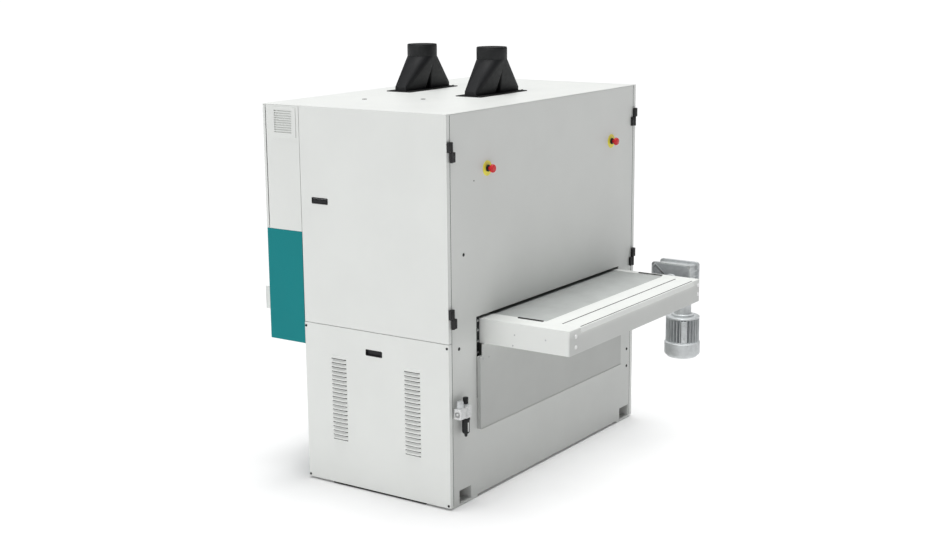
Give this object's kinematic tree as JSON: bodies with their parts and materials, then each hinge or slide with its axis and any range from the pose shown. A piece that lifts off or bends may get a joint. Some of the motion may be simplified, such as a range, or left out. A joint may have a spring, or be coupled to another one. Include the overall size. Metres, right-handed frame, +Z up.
{
  "type": "wide belt sander",
  "caption": "Enclosed drum-and-belt panel sander with a lifting conveyor table, hinged side doors, dust hoods and a feed gearmotor.",
  "frame": {"origin": "middle of the machine frame's footprint on the floor, centre of the four floor anchors", "axes": "+Z up, feed direction along Y with the outfeed face towards -Y, +X to the right when looking at the outfeed face"},
  "size_m": [1.8605, 1.904, 2.152],
  "materials": {
    "white_paint": "light grey-white powder coat",
    "frame_paint": "grey-white powder coat on welded steel",
    "teal_paint": "teal powder coat",
    "black_plastic": "moulded black plastic",
    "black_metal": "black coated hinge steel",
    "yellow_plastic": "yellow plastic",
    "red_plastic": "red plastic",
    "bright_steel": "ground steel",
    "cast_aluminium": "cast aluminium",
    "belt_rubber": "grey rubber conveyor belt",
    "drum_rubber": "ground black rubber",
    "drive_rubber": "black V-belt rubber",
    "abrasive": "coated abrasive cloth",
    "motor_paint": "blue-grey motor enamel",
    "screen_plastic": "dark console plastic",
    "zinc_steel": "zinc plated steel"
  },
  "bodies": {
    "frame": {"base_frame": "frame_paint", "column_frame": "frame_paint", "outfeed_plate": "white_paint", "infeed_plate": "white_paint", "roof_panel": "white_paint", "left_base_panel": "white_paint", "right_base_panel": "white_paint", "panel_screws": "black_metal", "outfeed_dust_hood": "black_plastic", "infeed_dust_hood": "black_plastic", "hinge_leaves": "black_metal", "control_cabinet": "white_paint", "side_vents": "white_paint", "side_cheeks": "teal_paint", "estop_discs": "yellow_plastic", "air_unit": "cast_aluminium", "outfeed_main_motor": "motor_paint", "infeed_main_motor": "motor_paint", "drive_belts": "drive_rubber", "lift_chain": "zinc_steel", "lift_gearmotor": "motor_paint", "outfeed_head_frame": "motor_paint", "infeed_head_frame": "motor_paint", "outfeed_sanding_belt": "abrasive", "infeed_sanding_belt": "abrasive"},
    "left_side_door": {"left_door": "white_paint", "left_door_hinges": "black_metal"},
    "left_latch": {"left_door_latch": "black_plastic"},
    "right_side_door": {"right_door": "white_paint", "right_door_hinges": "black_metal"},
    "right_latch": {"right_door_latch": "black_plastic"},
    "cabinet_door_l": {"left_cabinet_door": "white_paint"},
    "cabinet_door_r": {"right_cabinet_door": "white_paint", "operator_screen": "screen_plastic"},
    "switch_knob": {"main_switch": "red_plastic"},
    "estop_outfeed_l": {"outfeed_left_estop": "red_plastic"},
    "estop_outfeed_r": {"outfeed_right_estop": "red_plastic"},
    "estop_infeed": {"infeed_estop": "red_plastic"},
    "regulator_knob": {"air_regulator_knob": "black_plastic"},
    "table": {"table_frame": "white_paint", "end_covers": "white_paint", "nose_plates": "white_paint", "table_aprons": "white_paint", "feed_belt": "belt_rubber", "feed_gearbox": "cast_aluminium", "feed_motor": "cast_aluminium"},
    "drive_roller": {"feed_drive_roller": "bright_steel"},
    "idler_roller": {"feed_idler_roller": "bright_steel"},
    "screw_outfeed_l": {"lift_screw_outfeed_left": "bright_steel"},
    "screw_outfeed_r": {"lift_screw_outfeed_right": "bright_steel"},
    "screw_infeed_l": {"lift_screw_infeed_left": "bright_steel"},
    "screw_infeed_r": {"lift_screw_infeed_right": "bright_steel"},
    "outfeed_drum": {"outfeed_contact_drum": "drum_rubber"},
    "infeed_drum": {"infeed_contact_drum": "drum_rubber"},
    "outfeed_top_roller": {"outfeed_tension_roller": "bright_steel"},
    "infeed_top_roller": {"infeed_tension_roller": "bright_steel"},
    "outfeed_pulley": {"outfeed_motor_pulley": "zinc_steel"},
    "infeed_pulley": {"infeed_motor_pulley": "zinc_steel"},
    "outfeed_presser": {"outfeed_pressure_roller": "drum_rubber"},
    "infeed_presser": {"infeed_pressure_roller": "drum_rubber"}
  },
  "joints": [
    {"name": "left_door_swing", "type": "hinge", "parent": "frame", "child": "left_side_door", "pos_m": [-0.886, -0.451, 1.3], "axis": [0, 0, 1], "range_deg": [0, 110]},
    {"name": "right_door_swing", "type": "hinge", "parent": "frame", "child": "right_side_door", "pos_m": [0.886, -0.451, 1.3], "axis": [0, 0, -1], "range_deg": [0, 110]},
    {"name": "left_latch_lift", "type": "hinge", "parent": "left_side_door", "child": "left_latch", "pos_m": [-0.904, 0.321, 1.456], "axis": [0, 1, 0], "range_deg": [0, 35]},
    {"name": "right_latch_lift", "type": "hinge", "parent": "right_side_door", "child": "right_latch", "pos_m": [0.904, 0.321, 1.456], "axis": [0, -1, 0], "range_deg": [0, 35]},
    {"name": "left_cabinet_door_swing", "type": "hinge", "parent": "frame", "child": "cabinet_door_l", "pos_m": [-0.902, 0.665, 1.6], "axis": [0, 0, 1], "range_deg": [0, 110]},
    {"name": "right_cabinet_door_swing", "type": "hinge", "parent": "frame", "child": "cabinet_door_r", "pos_m": [0.902, 0.665, 1.6], "axis": [0, 0, -1], "range_deg": [0, 110]},
    {"name": "main_switch_turn", "type": "hinge", "parent": "cabinet_door_l", "child": "switch_knob", "pos_m": [-0.456, 0.68, 1.5], "axis": [0, 1, 0], "range_deg": [0, 90]},
    {"name": "outfeed_left_estop_push", "type": "slide", "parent": "frame", "child": "estop_outfeed_l", "axis": [0, 1, 0], "range_m": [0, 0.005], "stiffness_N_per_m": 1200, "springref_m": -0.002},
    {"name": "outfeed_right_estop_push", "type": "slide", "parent": "frame", "child": "estop_outfeed_r", "axis": [0, 1, 0], "range_m": [0, 0.005], "stiffness_N_per_m": 1200, "springref_m": -0.002},
    {"name": "infeed_estop_push", "type": "slide", "parent": "frame", "child": "estop_infeed", "axis": [0, -1, 0], "range_m": [0, 0.005], "stiffness_N_per_m": 1200, "springref_m": -0.002},
    {"name": "regulator_turn", "type": "hinge", "parent": "frame", "child": "regulator_knob", "pos_m": [-0.818, -0.471, 0.55], "axis": [0, 0, 1], "range_deg": [0, 270]},
    {"name": "table_lift", "type": "slide", "parent": "frame", "child": "table", "axis": [0, 0, 1], "range_m": [-0.16, 0]},
    {"name": "drive_roller_spin", "type": "hinge", "parent": "table", "child": "drive_roller", "pos_m": [0, -0.74, 0.847], "axis": [1, 0, 0], "continuous": true},
    {"name": "idler_roller_spin", "type": "hinge", "parent": "table", "child": "idler_roller", "pos_m": [0, 0.74, 0.847], "axis": [1, 0, 0], "continuous": true},
    {"name": "outfeed_left_screw_turn", "type": "hinge", "parent": "frame", "child": "screw_outfeed_l", "pos_m": [-0.595, -0.35, 0.3], "axis": [0, 0, 1], "range_deg": [-10, 9610]},
    {"name": "outfeed_right_screw_turn", "type": "hinge", "parent": "frame", "child": "screw_outfeed_r", "pos_m": [0.685, -0.35, 0.3], "axis": [0, 0, 1], "range_deg": [-10, 9610]},
    {"name": "infeed_left_screw_turn", "type": "hinge", "parent": "frame", "child": "screw_infeed_l", "pos_m": [-0.595, 0.35, 0.3], "axis": [0, 0, 1], "range_deg": [-10, 9610]},
    {"name": "infeed_right_screw_turn", "type": "hinge", "parent": "frame", "child": "screw_infeed_r", "pos_m": [0.685, 0.35, 0.3], "axis": [0, 0, 1], "range_deg": [-10, 9610]},
    {"name": "outfeed_drum_spin", "type": "hinge", "parent": "frame", "child": "outfeed_drum", "pos_m": [0, -0.23, 1.0068], "axis": [1, 0, 0], "continuous": true},
    {"name": "outfeed_top_roller_spin", "type": "hinge", "parent": "frame", "child": "outfeed_top_roller", "pos_m": [0, -0.23, 1.6417], "axis": [1, 0, 0], "continuous": true},
    {"name": "outfeed_pulley_spin", "type": "hinge", "parent": "frame", "child": "outfeed_pulley", "pos_m": [0, -0.17, 0.262], "axis": [1, 0, 0], "continuous": true},
    {"name": "outfeed_presser_spin", "type": "hinge", "parent": "frame", "child": "outfeed_presser", "pos_m": [0, -0.38, 0.944], "axis": [1, 0, 0], "continuous": true},
    {"name": "infeed_drum_spin", "type": "hinge", "parent": "frame", "child": "infeed_drum", "pos_m": [0, 0.23, 1.0068], "axis": [1, 0, 0], "continuous": true},
    {"name": "infeed_top_roller_spin", "type": "hinge", "parent": "frame", "child": "infeed_top_roller", "pos_m": [0, 0.23, 1.6417], "axis": [1, 0, 0], "continuous": true},
    {"name": "infeed_pulley_spin", "type": "hinge", "parent": "frame", "child": "infeed_pulley", "pos_m": [0, 0.17, 0.262], "axis": [1, 0, 0], "continuous": true},
    {"name": "infeed_presser_spin", "type": "hinge", "parent": "frame", "child": "infeed_presser", "pos_m": [0, 0.38, 0.944], "axis": [1, 0, 0], "continuous": true}
  ],
  "couplings": [
    {"joint": "idler_roller_spin", "follows": "drive_roller_spin", "ratio": 1},
    {"joint": "outfeed_top_roller_spin", "follows": "outfeed_drum_spin", "ratio": 1},
    {"joint": "outfeed_pulley_spin", "follows": "outfeed_drum_spin", "ratio": 1},
    {"joint": "infeed_top_roller_spin", "follows": "infeed_drum_spin", "ratio": 1},
    {"joint": "infeed_pulley_spin", "follows": "infeed_drum_spin", "ratio": 1},
    {"joint": "outfeed_left_screw_turn", "follows": "table_lift", "rad_per_m": -1047.2},
    {"joint": "outfeed_right_screw_turn", "follows": "table_lift", "rad_per_m": -1047.2},
    {"joint": "infeed_left_screw_turn", "follows": "table_lift", "rad_per_m": -1047.2},
    {"joint": "infeed_right_screw_turn", "follows": "table_lift", "rad_per_m": -1047.2}
  ]
}
